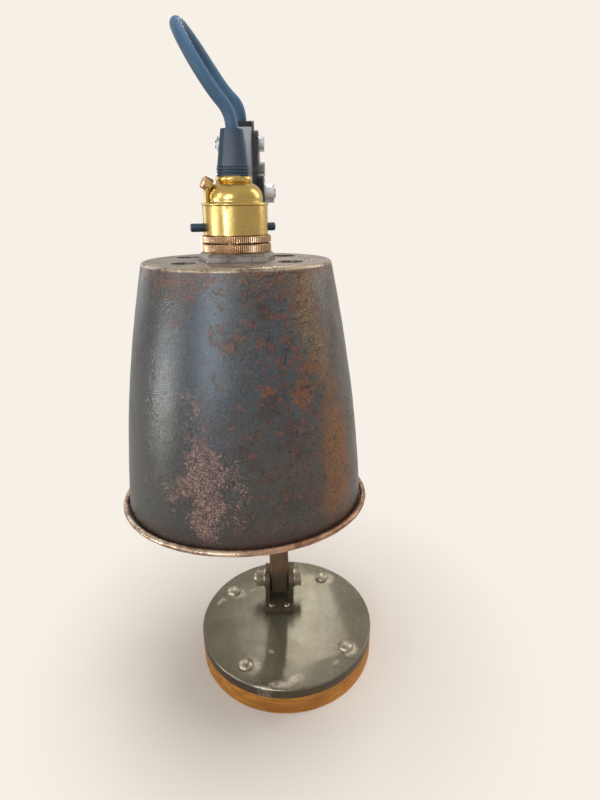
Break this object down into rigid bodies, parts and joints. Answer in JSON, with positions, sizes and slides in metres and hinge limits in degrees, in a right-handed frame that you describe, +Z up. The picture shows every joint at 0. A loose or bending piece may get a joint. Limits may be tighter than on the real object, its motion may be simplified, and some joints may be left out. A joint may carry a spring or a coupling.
{
  "type": "task lamp",
  "caption": "Table lamp with a round steel-and-wood base, a hinged square-tube arm and a tilting bucket shade on a switched brass lampholder, its flex looped over the top.",
  "frame": {"origin": "centre of the wooden disc's underside, on the surface the lamp stands on", "axes": "+Z up, the lamp faces -Y, +X to the right of someone who looks at its front"},
  "size_m": [0.1815, 0.3742, 0.4731],
  "materials": {
    "wood": "stained and waxed",
    "base_steel": "satin with scuffs",
    "screw_steel": "worn satin",
    "bright_steel": "bright plated",
    "arm_steel": "brown oxide",
    "black_steel": "black satin",
    "plate_steel": "dark oiled steel",
    "shade_paint": "worn slate paint over rust",
    "brass": "polished lacquered",
    "ring_brass": "knurled satin",
    "black_moulding": "semi-gloss",
    "insulator": "plain",
    "lamp_metal": "satin",
    "lamp_glass": "frosted",
    "flex": "smooth semi-gloss",
    "tie": "smooth",
    "plug_moulding": "semi-gloss"
  },
  "bodies": {
    "base": {"wood_disc": "wood", "steel_plate": "base_steel", "plate_screws": "screw_steel", "base_clevis": "arm_steel", "clevis_screws": "screw_steel", "clevis_bolt": "bright_steel", "clevis_washers": "bright_steel", "clevis_nut": "bright_steel", "flex_tail": "flex", "flex_coil": "flex", "coil_tie": "tie", "plug_relief": "plug_moulding", "plug_body": "plug_moulding", "plug_pins": "brass"},
    "arm": {"arm_tube": "arm_steel", "arm_pivot_sleeve": "bright_steel", "arm_end_cap": "black_steel", "exit_bush": "black_moulding", "flex_in_arm": "flex", "knuckle_cheek_left": "black_steel", "knuckle_cheek_right": "black_steel", "knuckle_bolts": "screw_steel", "knuckle_nuts": "screw_steel", "pivot_spacer": "bright_steel"},
    "head": {"yoke": "black_steel", "yoke_screws": "screw_steel", "yoke_nuts": "screw_steel", "head_pivot_bolt": "screw_steel", "head_pivot_washers": "screw_steel", "head_pivot_nut": "screw_steel", "head_plate": "plate_steel", "shade": "shade_paint", "shade_ring_lower": "ring_brass", "shade_ring_upper": "ring_brass", "shade_ring_inner": "ring_brass", "holder_body": "brass", "holder_dome": "brass", "holder_insert": "insulator", "contact_pins": "brass", "earth_lug": "brass", "earth_screw": "ring_brass", "cord_grip_collar": "black_moulding", "cord_grip_sleeve": "black_moulding", "flex_in_grip": "flex", "lamp_cap": "lamp_metal", "lamp_glass": "lamp_glass", "flex_loop": "flex"},
    "switch_bar": {"push_bar": "black_moulding"}
  },
  "joints": [
    {"name": "base_tilt", "type": "hinge", "parent": "base", "child": "arm", "pos_m": [-0.0065, 0.028, 0.0475], "axis": [1, 0, 0], "range_deg": [-30, 30], "deforming": ["flex_tail"]},
    {"name": "head_tilt", "type": "hinge", "parent": "arm", "child": "head", "pos_m": [-0.0225, 0.01, 0.379], "axis": [-1, 0, 0], "range_deg": [0, 40], "deforming": ["flex_loop"]},
    {"name": "switch_slide", "type": "slide", "parent": "head", "child": "switch_bar", "axis": [0.9511, 0.3059, -0.0438], "range_m": [0, 0.005]}
  ]
}
